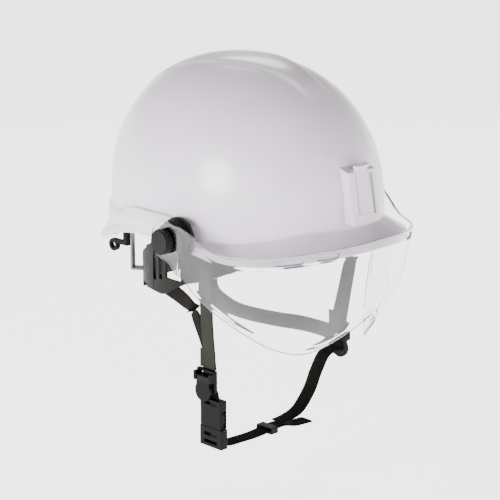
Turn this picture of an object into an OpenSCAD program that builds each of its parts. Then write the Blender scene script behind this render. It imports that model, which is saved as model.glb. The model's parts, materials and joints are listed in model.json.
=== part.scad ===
// Safety helmet with a short brim, a clear half-face visor on side pivots,
// a ratchet headband and a four-point webbing harness.
// Millimetres, +Z up. The wearer faces -Y and +X is the wearer's left.
// The origin is on the centre line, level with the foot of the dome.

/* [Shell] */
// Half the shell's width at the foot of the dome
shell_half_w = 104.5; // [86:0.5:126]
// Half the dome's length, front to back
shell_half_l = 138; // [114:0.5:166]
// Height of the dome above its foot
dome_h = 127; // [106:0.5:152]
// Thickness of the shell wall
shell_wall = 3; // [2:0.1:4]
// How far the front brim stands out of the dome
brim_reach = 20; // [14:0.5:26]
// Height of the brim's turned-down lip
lip_h = 7.5; // [5:0.5:10]
// How far the rear rim flares out
rear_flare = 11; // [9:0.5:13.5]
// How far the side pockets stand out
pocket_out = 3; // [1.5:0.5:4]
// Height of the raised panel along the crown
crest_h = 2.2; // [1:0.2:4]

/* [Visor] */
// Pivot's distance in front of the origin
pivot_y = -35; // [-42:1:-28]
// Pivot's height
pivot_z = -14; // [-18:1:-10]
// From the adapter's base to the lens ear
visor_stand = 15.5; // [13:0.5:18.5]
// Lens thickness
lens_t = 2.4; // [1.8:0.2:3]
// Outer radius of a lens ear
ear_r = 17; // [14:0.5:20]
// Diameter of the adapter's base disc
adapter_d = 36; // [30:1:43]
// Diameter of the pivot pin
pivot_pin_d = 6; // [5:0.5:7.2]
// Diameter of the outer knob
visor_knob_d = 21; // [18:0.5:25.5]

/* [Headband] */
// Half the headband's outer width
band_half_w = 84; // [76:0.5:90]
// Half the headband's outer length
band_half_l = 101; // [90:0.5:108]
// Thickness of the headband and side arms
band_t = 2.4; // [1.8:0.2:3]
// Thickness of the sweatband
pad_t = 6; // [4:0.5:8]
// Diameter of the ratchet knob
ratchet_knob_d = 32; // [26:1:38]
// Pitch radius of the ratchet pinion
pinion_r = 6; // [5:0.5:7]

/* [Harness] */
// Width of the webbing
webbing_w = 15; // [12:0.5:18]
// Thickness of the webbing
webbing_t = 1.6; // [1.2:0.1:2]
// Width of the side-release buckle
buckle_w = 25; // [22:0.5:30]

/* [Hidden] */

WHITE = [0.90, 0.89, 0.91];
GREY = [0.29, 0.30, 0.28];
BLACK = [0.09, 0.09, 0.08];
WEB = [0.42, 0.42, 0.39];
CLEAR = [0.95, 0.95, 1, 0.3];
PALE = [0.72, 0.71, 0.69];
STEEL = [0.75, 0.75, 0.75];

gap = 0.3;                 // clearance between pieces that move past each other
run = 0.05;                // radial clearance of a pin in its bore
yc = -3.5;                 // centre of the dome's plan
dome_power = 2.2;          // 2 would be an ellipsoid, more is squarer
inner_w = shell_half_w - shell_wall;
inner_l = shell_half_l - shell_wall;
inner_h = dome_h - shell_wall;

// ---------- small functions ----------
function unit(v) = v / norm(v);
function ease(t) = t <= 0 ? 0 : t >= 1 ? 1 : t * t * (3 - 2 * t);
function fold(a) = let(b = (a % 360 + 360) % 360) b > 180 ? 360 - b : b;
// Catmull-Rom curve through a list of points, n steps a span
function cr(p, i, u) = let(m = len(p) - 1, a = p[max(i - 1, 0)], b = p[i],
    c = p[min(i + 1, m)], d = p[min(i + 2, m)])
    0.5 * (2 * b + (c - a) * u + (2 * a - 5 * b + 4 * c - d) * u * u
        + (3 * b - a - 3 * c + d) * u * u * u);
function curve(p, n) = [for (i = [0:len(p) - 2], k = [0:n - 1]) cr(p, i, k / n), p[len(p) - 1]];
// the same, read as a table: value of row k's columns at key x
function table(p, x, i = 0) = x <= p[0][0] ? p[0] : i >= len(p) - 1 ? p[len(p) - 1] :
    x <= p[i + 1][0] ? cr(p, i, (x - p[i][0]) / (p[i + 1][0] - p[i][0])) : table(p, x, i + 1);

// Plan of an ellipse: angle 0 is the front, 90 the wearer's right, 180 the rear
function oval(a, w, l, off, y0) = let(n = unit([-sin(a) / w, -cos(a) / l]))
    [-w * sin(a), y0 - l * cos(a)] + off * n;
function wall_at(y, w, l, y0) = w * sqrt(max(0.01, 1 - pow((y - y0) / l, 2)));

// Closed solid from rings of points; ring 0 and the last ring close to a point or a cap
module rings(r, caps = true) {
    n = len(r[0]);
    m = len(r);
    side = [for (i = [0:m - 2], j = [0:n - 1]) let(k = (j + 1) % n)
        each [[i * n + j, (i + 1) * n + j, (i + 1) * n + k], [i * n + j, (i + 1) * n + k, i * n + k]]];
    ends = caps ? [[for (j = [0:n - 1]) j], [for (j = [n - 1:-1:0]) (m - 1) * n + j]] : [];
    polyhedron([for (ring = r) each ring], concat(side, ends), convexity = 8);
}

// Flat strip of width w and thickness t along points p, with width directions d
module strip(p, d, w, t) {
    m = len(p) - 1;
    rings([for (i = [0:m]) let(
        along = unit(p[min(i + 1, m)] - p[max(i - 1, 0)]),
        across = unit(d[i] - along * (d[i] * along)),
        up = cross(along, across))
        [for (c = [[-1, -1], [1, -1], [1, 1], [-1, 1]])
            p[i] + across * c[0] * w / 2 + up * c[1] * t / 2]]);
}

// Strip through hand-set points, smoothed
module webbing(p, d, w = webbing_w, t = webbing_t, n = 4) {
    strip(curve(p, n), curve(d, n), w, t);
}

module mirrored(side) {
    if (side < 0) children();
    else mirror([1, 0, 0]) children();
}

// ---------- shell ----------
side_out = 3;              // reach of the rim beside the ears
lip_slope = 0.8;           // how much further out the lip's lower edge is
function brim_out(f) = side_out + (brim_reach - side_out) * ease((86 - f) / 52)
    + (rear_flare - side_out) * ease((f - 104) / 48);
function lip_low(f) = table([[0, -20], [25, -24], [48, -30], [66, -29], [88, -21], [106, -23.5],
    [122, -33], [137, -46], [155, -51], [180, -52]], f)[1];
function lip_top(f) = lip_low(f) + lip_h;
function foot_z(f) = lip_top(f) + 4 + 8 * ease((85 - f) / 60) + 9 * ease((f - 110) / 40);
function pocket(f) = pocket_out * ease((f - 70) / 9);
function ledge_z(f) = 1.5 - 5 * ease((86 - f) / 12) - 13 * ease((f - 100) / 22);
function ledge_h(f) = 0.6 + 9 * ease((f - 112) / 12) + 3 * ease((76 - f) / 8);
function crest(x, y) = let(half = 34 - 20 * ease((20 - y) / 110))
    crest_h * ease((half - abs(x)) / 3.5) * ease((y + 100) / 20) * ease((110 - y) / 12);

function dome_ring(q, w, l, h, raised) = let(
    k = pow(pow(cos(q), dome_power) + pow(sin(q), dome_power), -1 / dome_power),
    g = cos(q) * k, z = h * sin(q) * k)
    [for (a = [0:step_a:359]) let(p = oval(a, w * g, l * g, 0, yc))
        [p[0], p[1], z + (raised ? crest(p[0], p[1]) : 0)]];
function rim_ring(k) = [for (a = [0:step_a:359]) let(f = fold(a), out = brim_out(f),
    o = [0, pocket(f), pocket(f), max(out - 1, pocket(f)), out, out + lip_slope, out + lip_slope - shell_wall,
        out - shell_wall, pocket(f) - shell_wall, pocket(f) - shell_wall, -shell_wall][k],
    z = [ledge_z(f) + ledge_h(f), ledge_z(f) - 0.6, min(foot_z(f), ledge_z(f) - 1.5), lip_top(f) + 0.3, lip_top(f) - 1,
        lip_low(f), lip_low(f), lip_top(f) - shell_wall, min(foot_z(f), ledge_z(f) - 1.5) - shell_wall / 2,
        ledge_z(f) - 0.6, ledge_z(f) + ledge_h(f)][k],
    p = oval(a, shell_half_w, shell_half_l, o, yc)) [p[0], p[1], z]];
step_a = 6;
dome_q = [88, 84, 79, 74, 68, 62, 55, 48, 40, 32, 24, 16, 9, 3.2];

module shell() {
    color(WHITE) rings([
        for (q = dome_q) dome_ring(q, shell_half_w, shell_half_l, dome_h, true),
        for (k = [0:10]) rim_ring(k),
        for (i = [len(dome_q) - 1:-1:0]) dome_ring(dome_q[i], inner_w, inner_l, inner_h, false)]);
}

// ---------- front accessory mount ----------
mount_w = 34;
mount_low = 0;
mount_top = 44;
mount_front = shell_half_l - yc + 9;     // distance of its face from the origin at the foot
mount_back = shell_half_l - yc - 16;
mount_lean = 8;                          // how far the face leans back at the top
slot_w = 12;
clip_w = 16;
module mount_side_profile(front, back) {
    polygon([[-front, mount_low], [-front + mount_lean, mount_top],
        [-back, mount_top + 6], [-back, mount_low]]);
}
module across_x(w) {
    rotate([90, 0, 90]) translate([0, 0, -w / 2]) linear_extrude(w) children();
}
module front_mount() {
    color(WHITE) difference() {
        across_x(mount_w) mount_side_profile(mount_front, mount_back);
        dome_cutter();
        // channel that the clip stands in, and the T-slot behind it
        across_x(clip_w + 2 * gap)
            polygon([[-mount_front - 1, mount_low + 8], [-mount_front + mount_lean - 1, mount_top + 9],
                [-mount_front + mount_lean + 3.2, mount_top + 9], [-mount_front + 3.2, mount_low + 8]]);
        translate([clip_w / 2 + 3.4, 0, 0]) across_x(3)
            polygon([[-mount_front - 1, mount_low + 7], [-mount_front + mount_lean - 1, mount_top - 3],
                [-mount_front + mount_lean + 6, mount_top - 3], [-mount_front + 6, mount_low + 7]]);
    }
}
// Solid of revolution that clears the dome behind the mount
module dome_cutter() {
    mount_seat = -0.3;
    translate([0, yc, 0]) scale([shell_half_w / shell_half_l, 1, 1]) rotate_extrude($fn = 96)
        polygon([[0, 0], for (q = [0:10:80]) let(
            k = pow(pow(cos(q), dome_power) + pow(sin(q), dome_power), -1 / dome_power))
            [(shell_half_l + mount_seat) * cos(q) * k, (dome_h + mount_seat) * sin(q) * k], [0, dome_h]]);
}
module front_clip() {
    t = 2.2;
    color(WHITE) union() {
        across_x(clip_w)
            polygon([[-mount_front + 0.6, mount_low + 8.2], [-mount_front + mount_lean + 0.6, mount_top + 2],
                [-mount_front + mount_lean - 2.4, mount_top + 3],
                [-mount_front + mount_lean - 2.4, mount_top + 5],
                [-mount_front + mount_lean + 0.8 + t, mount_top + 5], [-mount_front + 0.6 + t, mount_low + 8.2]]);
    }
}

// Lamp-band clips and the cord eye on the rear rim
rear_a = 146;
module rear_clip(a) {
    p = oval(a, shell_half_w, shell_half_l, brim_out(fold(a)) - shell_wall - 4.6, yc);
    translate([p[0], p[1], lip_low(fold(a)) - 1]) rotate(-a) {
        translate([-7, -1.2, 0]) cube([14, 2.4, 12]);
        translate([-7, -5, 0]) cube([14, 5, 2.2]);
        translate([-7, -5, 1]) cube([14, 1.8, 4.7]);
    }
}
module rear_clips() {
    color(BLACK) {
        rear_clip(rear_a + 14);
        rear_clip(-rear_a - 14);
    }
}
eye_hole_r = 3;
eye_t = 4;
eye_r = 6;
eye_x = -54;
eye_y = oval(rear_a + 5, shell_half_w, shell_half_l, -2, yc)[1];
eye_z = -58;
module lanyard_eye() {
    color(BLACK) difference() {
        union() {
            translate([eye_x, eye_y, eye_z]) rotate([0, 90, 0]) cylinder(h = eye_t, r = eye_r, center = true, $fn = 48);
            translate([eye_x - eye_t / 2, eye_y - 19.5, eye_z + 2]) cube([eye_t, 17.5, 4]);
            translate([eye_x - eye_t / 2, eye_y - 19.5, eye_z + 2]) cube([eye_t + 2, 5, -eye_z - 34]);
        }
        translate([eye_x, eye_y, eye_z]) rotate([0, 90, 0])
            cylinder(h = eye_t + 2, r = eye_hole_r, center = true, $fn = 48);
    }
}

// ---------- visor ----------
// where the adapter's disc clears the rim, and the inner face of the lens ear
rim_a = acos(max(-1, (yc - pivot_y - adapter_d / 2) / shell_half_l));
side_x = -oval(rim_a, shell_half_w, shell_half_l, brim_out(rim_a) + lip_slope, yc)[0] + gap;
ear_x = side_x + visor_stand;
// the lens stands clear of the lip all the way round the front
visor_l = shell_half_l + brim_reach + lip_slope + lens_t + 2 * gap;
visor_w = (ear_x + lens_t) / sqrt(1 - pow((pivot_y - 15 - yc) / visor_l, 2));
lens_end = 73;
function top_z(f) = lip_top(f) + 1.5 + 18 * ease((f - 56) / 18);
lens_low = [[0, 8, -77], [5, 13, -87], [11, 27, -101], [20, 37, -112], [31, 40, -115.5],
    [45, 38, -108], [57, 31, -92], [65, 19, -74], [70, 8, -58], [73, 2, -41]];
lens_rows = 8;
function lens_ring(a, t) = let(f = fold(a), low = table(lens_low, f))
    [for (k = [0:lens_rows]) let(s = k / lens_rows,
        p = oval(a, visor_w, visor_l, -low[1] * s * s - t, yc))
        [p[0], p[1], top_z(f) + (low[2] - top_z(f)) * s]];
module visor_lens() {
    n = 40;
    color(CLEAR) rings([for (i = [0:n]) let(a = -lens_end + 2 * lens_end * i / n,
        out = lens_ring(a, 0), inn = lens_ring(a, lens_t))
        concat(inn, [for (k = [lens_rows:-1:0]) out[k]])]);
}
end_y = oval(lens_end, visor_w, visor_l, 0, yc)[1];
module lens_ear(side) {
    color(CLEAR) mirrored(side) difference() {
        union() {
            pivot_axis(-ear_x - lens_t, ear_r, lens_t);
            translate([-ear_x - lens_t, 0, 0]) rotate([90, 0, 90]) linear_extrude(lens_t)
                polygon([[end_y - 1, top_z(lens_end)], [pivot_y - 3, pivot_z + ear_r - 1],
                    [pivot_y - 1, pivot_z - ear_r + 1], [end_y - 1, lens_low[len(lens_low) - 1][2]]]);
        }
        pivot_axis(-ear_x - lens_t - 1, pivot_pin_d / 2 + run, lens_t + 2);
    }
}
module pivot_axis(x, r, h) {
    translate([x, pivot_y, pivot_z]) rotate([0, 90, 0]) cylinder(h = h, r = r, $fn = 64);
}
hub_d = 27;
hub_len = 6;
knob_len = 6.5;
disc_t = 2.6;
module adapter(side) {
    body = visor_stand - hub_len - gap - disc_t;
    color(GREY) mirrored(side) union() {
        pivot_axis(-side_x - disc_t, adapter_d / 2, disc_t);
        pivot_axis(-side_x - disc_t - body, (adapter_d - 6) / 2, body + 1);
        for (k = [1:2]) pivot_axis(-side_x - disc_t - k * body / 2.5, (adapter_d - 3.6) / 2, 1.2);
        pivot_axis(-ear_x - lens_t - gap - knob_len + 1.5, pivot_pin_d / 2, knob_len + lens_t + hub_len + 2);
        // foot that fills the side pocket, between the ledge and the rim
        translate([0, 0, foot_z(rim_a) + 1]) linear_extrude(ledge_z(rim_a) - foot_z(rim_a) - 4)
            polygon([for (a = [rim_a - 10:2:rim_a]) oval(a, shell_half_w, shell_half_l, pocket(a) - pocket_bite, yc),
                [-side_x - 1, pivot_y + 14], [-side_x - 1, pivot_y - 8]]);
    }
}
pocket_bite = 0.4;         // how deep the foot presses into the pocket's face
module lens_hub(side) {
    color(BLACK) mirrored(side) difference() {
        union() {
            pivot_axis(-ear_x, hub_d / 2 - 1.5, hub_len);
            for (k = [0:17]) translate([0, pivot_y, pivot_z]) rotate([k * 20, 0, 0])
                translate([-ear_x, hub_d / 2 - 2, -1]) cube([hub_len - 1.5, 2, 2]);
        }
        pivot_axis(-ear_x - 1, pivot_pin_d / 2 + run, hub_len + 2);
    }
}
module visor_knob(side) {
    x0 = -ear_x - lens_t - gap - knob_len;
    color(GREY) mirrored(side) difference() {
        union() {
            pivot_axis(x0, visor_knob_d / 2 - 0.8, 1);
            pivot_axis(x0 + 0.8, visor_knob_d / 2, knob_len - 0.8);
            for (k = [0:11]) translate([0, pivot_y, pivot_z]) rotate([k * 30, 0, 0])
                translate([x0 + 1, visor_knob_d / 2 - 0.6, -1.1]) cube([knob_len - 1, 1, 2.2]);
        }
        pivot_axis(x0 + 1.5 - run, pivot_pin_d / 2 + run, knob_len);
    }
}

// ---------- headband ----------
band_y = -2;
function band_low(f) = -34 - 29 * ease((f - 30) / 55) - 18 * ease((f - 78) / 26) - 8 * ease((f - 108) / 50);
function band_high(f) = -8 - 20 * ease((f - 30) / 50) - 34 * ease((f - 80) / 90);
// Wall between two plan angles, following the head oval
module band_wall(a0, a1, w, l, t, low_trim = 0, high_trim = 0, n = 24) {
    rings([for (i = [0:n]) let(a = a0 + (a1 - a0) * i / n, f = fold(a),
        o = oval(a, w, l, 0, band_y), q = oval(a, w, l, -t, band_y),
        lo = band_low(f) + low_trim, hi = band_high(f) - high_trim)
        [[q[0], q[1], hi], [q[0], q[1], lo], [o[0], o[1], lo], [o[0], o[1], hi]]]);
}
arm_start = 78;
arm_end = 122;
guide_end = 146;
module headband() {
    color(GREY) band_wall(-arm_start, arm_start, band_half_w, band_half_l, band_t, n = 52);
}
module sweatband() {
    color(PALE) band_wall(-68, 68, band_half_w - band_t - gap, band_half_l - band_t - gap, pad_t, -1.5, -1, n = 46);
}
// Slotted arm: a wall of the band with a wide window and two narrow slots
arm_slots = [[-8, 12, -64, -40], [18, 23, -67, -47], [29, 34, -70, -50]];
module side_arm(side) {
    color(GREY) mirrored(side) difference() {
        band_wall(arm_start, arm_end, band_half_w, band_half_l, band_t, n = 16);
        for (s = arm_slots)
            translate([-band_half_w - 5, s[0], s[2]]) cube([20, s[1] - s[0], s[3] - s[2]]);
    }
}

// ---------- ratchet at the nape ----------
arc_r = 70;                                      // radius of the rear band
arc_y = band_y + band_half_l - arc_r;            // its centre
nape_z = (band_low(180) + band_high(180)) / 2;
rack_t = 2.6;
rack_r = arc_r - rack_t;
pitch = 360 * pinion_r / arc_r / 8;              // rack pitch in degrees, for eight pinion blades
tooth_w = 1.2;
mesh_gap = 0.4;                                  // radial play of blade and rack
blade_r = pinion_r + 1;
rack_h = 5;
rack_reach = 34;                                 // plan angle that a rack reaches out to
rack_travel = 8;
// Arc-shaped block about the nape's vertical axis, r0 to r1, between angles from the rear
module arc_block(r0, r1, z0, z1, b0, b1) {
    translate([0, arc_y, z0]) rotate(90 + b0) rotate_extrude(angle = b1 - b0, $fn = 180)
        translate([r0, 0]) square([r1 - r0, z1 - z0]);
}
module left_rack() {
    tip = blade_r + mesh_gap - 1.8;
    root = blade_r + mesh_gap;
    arc_block(rack_r, arc_r, nape_z - root - rack_h, nape_z - root, -rack_reach, 7);
    for (k = [-3:1]) arc_block(rack_r, arc_r, nape_z - root - 1, nape_z - tip,
        (k - 0.5) * pitch - tooth_a, (k - 0.5) * pitch + tooth_a);
}
// The left rack runs below the pinion; the right one is the same piece turned over, above it
module rack(side) {
    color(GREY) if (side > 0) left_rack();
    else translate([0, 0, 2 * nape_z]) rotate([0, 180, 0]) left_rack();
}
tooth_a = tooth_w / 2 / arc_r * 180 / PI;
house_h = 30;
house_a = 25;
house_in = rack_r - gap;
house_out = arc_r + gap;
wall_t = 2;
module ratchet_housing() {
    color(GREY) difference() {
        union() {
            arc_block(house_in - wall_t, house_in, nape_z - house_h / 2, nape_z + house_h / 2, -house_a, house_a);
            for (s = [-1, 1]) arc_block(house_in - 1, house_out, nape_z + s * (house_h / 2 - 1) - 1,
                nape_z + s * (house_h / 2 - 1) + 1, -house_a, house_a);
        }
        translate([0, arc_y, nape_z]) rotate([-90, 0, 0]) cylinder(h = 100, r = 2 + run, $fn = 48);
    }
}
module ratchet_cover() {
    y0 = arc_y + house_out;
    color(GREY) difference() {
        union() {
            arc_block(house_out, house_out + wall_t, nape_z - house_h / 2, nape_z + house_h / 2, -house_a, house_a);
            translate([0, y0 - 1.5, nape_z]) rotate([-90, 0, 0]) cylinder(h = 5.5, r = 11, $fn = 72);
        }
        translate([0, arc_y, nape_z]) rotate([-90, 0, 0]) cylinder(h = house_out, r = 14, $fn = 72);
        translate([0, arc_y, nape_z]) rotate([-90, 0, 0]) cylinder(h = 100, r = 4 + run, $fn = 48);
    }
}
knob_y = arc_y + house_out + 4 + gap;
module pinion() {
    y0 = arc_y + rack_r + 0.2;
    color(BLACK) {
        translate([0, y0, nape_z]) rotate([-90, 0, 0]) difference() {
            union() {
                cylinder(h = rack_t - 0.4, r = 4.6, $fn = 48);
                for (k = [0:7]) rotate(k * 45) translate([0, -tooth_w / 2, 0])
                    cube([blade_r, tooth_w, rack_t - 0.4]);
                cylinder(h = knob_y - y0 + 3, r = 4, $fn = 48);
            }
            translate([0, 0, -1]) cylinder(h = 30, r = 2 + run, $fn = 48);
        }
    }
}
module ratchet_knob() {
    h = 13;
    color(GREY) translate([0, knob_y, nape_z]) rotate([-90, 0, 0]) difference() {
        union() {
            cylinder(h = h - 2, r = ratchet_knob_d / 2 - 1, $fn = 96);
            cylinder(h = h, r = ratchet_knob_d / 2 - 3, $fn = 96);
            for (k = [0:17]) rotate(k * 20) translate([ratchet_knob_d / 2 - 2, -1.6, 1])
                cube([2, 3.2, h - 4]);
        }
        translate([0, 0, -1]) cylinder(h = 4, r = 4, $fn = 48);
        translate([0, 0, -1]) cylinder(h = h, r = 2 + run, $fn = 48);
        translate([0, 0, h - 4]) cylinder(h = 5, r = 4.2, $fn = 48);
    }
}
module knob_screw() {
    y0 = arc_y + house_in - wall_t;
    color(STEEL) translate([0, 0, nape_z]) rotate([-90, 0, 0]) {
        translate([0, 0, y0]) cylinder(h = knob_y + 9 - y0, r = 2, $fn = 48);
        translate([0, 0, knob_y + 9]) cylinder(h = 2.2, r = 3.8, $fn = 48);
    }
}
// Sleeve at the end of each arm that the rack slides in
module nape_guide(side) {
    a0 = 34;
    a1 = 52;
    h = blade_r + mesh_gap + rack_h + 4;
    color(GREY) mirrored(side) difference() {
        union() {
            arc_block(arc_r - rack_t - gap - 1.6, arc_r + gap + 1.6, nape_z - h, nape_z + h, 28, 44);
            band_wall(arm_end + 0.2, 147, band_half_w, band_half_l, band_t, 3, 3, n = 6);
        }
        arc_block(arc_r - rack_t - gap, arc_r + gap, nape_z - h + 2, nape_z + h - 2, 27, 43);
    }
}
// Hangers that carry the nape band from the shell's rear wall
hang_a = 147;
hang_w = 11;
module nape_hanger() {
    w = oval(hang_a, shell_half_w, shell_half_l, pocket(hang_a) - shell_wall + 0.6, yc);
    d = norm(w - [0, arc_y]);
    drop = d - 18;
    top = foot_z(hang_a) + 4;
    translate([0, arc_y, 0]) rotate(atan2(-w[0], w[1] - arc_y)) {
        translate([-hang_w / 2, drop - 1, nape_z - 4]) cube([hang_w, 2, top - nape_z + 4]);
        translate([-hang_w / 2, drop - 1, top - 2]) cube([hang_w, d - drop + 1, 2]);
        translate([-hang_w / 2, arc_r + gap + 1.2, nape_z - 4]) cube([hang_w, drop - arc_r - gap - 0.2, 2]);
    }
}
module nape_hangers() {
    color(PALE) {
        nape_hanger();
        mirror([1, 0, 0]) nape_hanger();
    }
}
module nape_pad() {
    color(BLACK) arc_block(house_in - wall_t - gap - 4, house_in - wall_t - gap, nape_z - 13, nape_z + 13, -22, 22);
}

// ---------- crown suspension ----------
key_f = [38, 142];
crown_z = 92;
key_z = 2;
// Straps rise from a key by the shell wall, over the head, to the key opposite
module crown_strap(a, z) {
    e = oval(a, inner_w, inner_l, -9, yc);
    m = oval(a, inner_w, inner_l, -22, yc);
    up = [-e[1], e[0], 0];
    color(WEB) webbing([[e[0], e[1], key_z], [m[0] * 0.98, m[1] * 0.98, 34], [e[0] * 0.62, e[1] * 0.62, z - 20],
        [0, 0, z], [-e[0] * 0.62, yc * 2 - e[1] * 0.62 - yc, z - 20],
        [-m[0] * 0.98, 2 * yc - m[1] * 0.98, 34], [-e[0], 2 * yc - e[1], key_z]],
        [for (i = [0:6]) up], webbing_w + 3, 1.2, 3);
}
module suspension_key(a) {
    e = oval(a, inner_w, inner_l, -0.5, yc);
    translate([e[0], e[1], key_z - 14]) rotate(-a) {
        translate([-11, 0.5, 0]) cube([22, 4.5, 12]);
        translate([-11, 0.5, 0]) cube([22, 13, 3]);
    }
}
crown_angles = [0, 55, 125];
module suspension_keys() {
    color(GREY) for (a = [0, 55, 125, 180, 235, 305]) suspension_key(a);
}
module crown_pad() {
    color(BLACK) translate([0, yc, crown_z - 8]) cylinder(h = 5, r = 30, $fn = 72);
}

// ---------- harness ----------
anchor_y = -46;
anchor_x = wall_at(anchor_y, inner_w, inner_l, yc) - 6;
adj_x = 82;
adj_y = -41;
adj_z = -150;
module strap_anchor() {
    translate([-anchor_x - 3.6, anchor_y - 11, -26]) cube([4.2, 22, 20]);
}
module strap_anchors() {
    color(GREY) {
        strap_anchor();
        mirror([1, 0, 0]) strap_anchor();
    }
}
module front_strap(side) {
    color(WEB) mirrored(side) webbing([[-anchor_x + 1.6, anchor_y, -14], [-anchor_x + 0.5, -47, -38],
        [-anchor_x - 1.66, -49, -66], [-adj_x - 0.72 * (anchor_x - adj_x), -46, -96], [-adj_x - 1, -43, -122], [-adj_x + 0.6, adj_y, adj_z + 15],
        [-adj_x + 0.7, adj_y, adj_z + 7]], [for (i = [0:6]) [0, 1, 0]]);
}
// The right strap is drawn up tight under the arm, the left one hangs slack
module rear_strap(side) {
    if (side < 0)
        color(WEB) webbing([side_point(117, -69), side_point(108, -71), side_point(100, -73.5),
            side_point(93, -76), [-82.5, -10, -79],
            [-86.5, -25, -82.5], [-84, -34, -101], [-79.4, -38, -121], [-adj_x + 2.4, adj_y, adj_z + 12]],
            [for (i = [0:4]) [0, 0, 1], [0, 0.5, 0.8], [0, 1, 0.2], [0, 1, 0], [0, 1, 0]], n = 3);
    else
        color(WEB) webbing([nape_point(33, -80), nape_point(34, -100), [45, 88, -122], [55, 66, -136], [70, 30, -139.5],
            [79, 0, -139], [adj_x - 2.5, -36, -138.5]],
            [[0.84, -0.54, 0], [0.84, -0.54, 0], [0.7, -0.5, 0.5], [0.2, 0, 1], [0, 0, 1], [0, 0, 1], [0, 0, 1]], n = 3);
}
// A place just outside the nape guide, at an angle from the rear, or against the side arm's inner face
function nape_point(b, z) = let(r = arc_r + gap + 1.6 + webbing_t / 2 + 0.1) [r * sin(b), arc_y + r * cos(b), z];
function side_point(a, z) = let(p = oval(a, band_half_w, band_half_l, -band_t - webbing_t / 2 + 0.1, band_y))
    [p[0], p[1], z];
module junction_patch() {
    translate([-adj_x - 1.2, adj_y - 9.5, adj_z + 15]) cube([1, 19, 16]);
}
module junction_patches() {
    color(WEB) {
        junction_patch();
        mirror([1, 0, 0]) junction_patch();
    }
}
// Cam-lock adjuster: body plate with a round face, and a lever hinged at its top
module adjuster(side) {
    color(BLACK) mirrored(side) translate([-adj_x, adj_y, adj_z]) difference() {
        union() {
            rotate([0, -90, 0]) cylinder(h = 3.6, r = 11, $fn = 72);
            translate([-3.6, -11, -6]) cube([3.6, 22, 20]);
            for (s = [-1, 1]) translate([-8, s * 9.6 - 1.4, 4]) cube([8, 2.8, 8]);
        }
        // strap slots and the lever pin's bore
        translate([-5, -webbing_w / 2 - 0.5, 9.5]) cube([6, webbing_w + 1, 2.4]);
        translate([-5, -webbing_w / 2 - 0.5, -5]) cube([6, webbing_w + 1, 2.4]);
        translate([-6, 0, 8]) rotate([90, 0, 0]) cylinder(h = 40, r = 1.5 + run, center = true, $fn = 32);
    }
}
module cam_lever(side) {
    color(BLACK) mirrored(side) translate([-adj_x, adj_y, adj_z]) {
        translate([-6, 0, 8]) rotate([90, 0, 0]) cylinder(h = 22, r = 1.5, center = true, $fn = 32);
        difference() {
            union() {
                translate([-7.4, -7.8, -4]) cube([2.8, 15.6, 13]);
                translate([-4.6, 0, -5]) rotate([0, -90, 0]) cylinder(h = 2.8, r = 9.5, $fn = 72);
            }
            translate([-9, -9.5, -20]) cube([1, 19, 8]);
        }
    }
}
// Side-release buckle below the right adjuster; its axis drops straight down
buckle_x = -80;
buckle_y = -45;
buckle_top = -163;
socket_len = 26;
buckle_t = 8;
module lower_strap() {
    color(WEB) webbing([[-adj_x + 0.7, adj_y, adj_z + 2], [-adj_x + 0.9, adj_y - 1, adj_z - 5],
        [buckle_x - 0.6, buckle_y + 0.6, buckle_top + 5], [buckle_x, buckle_y, buckle_top - 1]],
        [for (i = [0:3]) [0, 1, 0]]);
}
prong_w = 4;
plate_t = 1.6;
module buckle_socket() {
    color(BLACK) translate([buckle_x, buckle_y, buckle_top - socket_len]) difference() {
        translate([-buckle_t / 2, -buckle_w / 2, 0]) cube([buckle_t, buckle_w, socket_len]);
        // hollow for the prongs, open at the mouth and at both sides
        translate([-buckle_t / 2 + plate_t, -buckle_w / 2 + 2.2, -1])
            cube([buckle_t - 2 * plate_t, buckle_w - 4.4, socket_len - 7]);
        translate([-buckle_t / 2 + plate_t, -buckle_w / 2 - 1, -1]) cube([buckle_t - 2 * plate_t, buckle_w + 2, 18]);
        // bar slot for the strap
        translate([-buckle_t, -webbing_w / 2 - 0.5, socket_len - 5]) cube([2 * buckle_t, webbing_w + 1, 2.4]);
    }
}
tongue_len = 18;
module buckle_tongue() {
    t = buckle_t - 2 * plate_t - 2 * gap;
    color(BLACK) translate([buckle_x, buckle_y, buckle_top - socket_len]) {
        difference() {
            translate([-buckle_t / 2, -buckle_w / 2 - 1, -tongue_len - gap])
                cube([buckle_t, buckle_w + 2, tongue_len]);
            translate([-buckle_t, -webbing_w / 2 - 0.5, -8]) cube([2 * buckle_t, webbing_w + 1, 2.8]);
            translate([-buckle_t, -webbing_w / 2 - 0.5, -15]) cube([2 * buckle_t, webbing_w + 1, 2.8]);
        }
        for (s = [-1, 1]) {
            translate([-t / 2, s * (buckle_w / 2 - 3) - prong_w / 2 - s * 0.4, -gap - 1]) cube([t, prong_w, 18]);
            translate([-t / 2, s * (buckle_w / 2 - 1.4) - 1, 5]) cube([t, 2.4, 9]);
        }
        translate([-t / 2, -2, -gap - 1]) cube([t, 4, 17]);
    }
}
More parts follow.
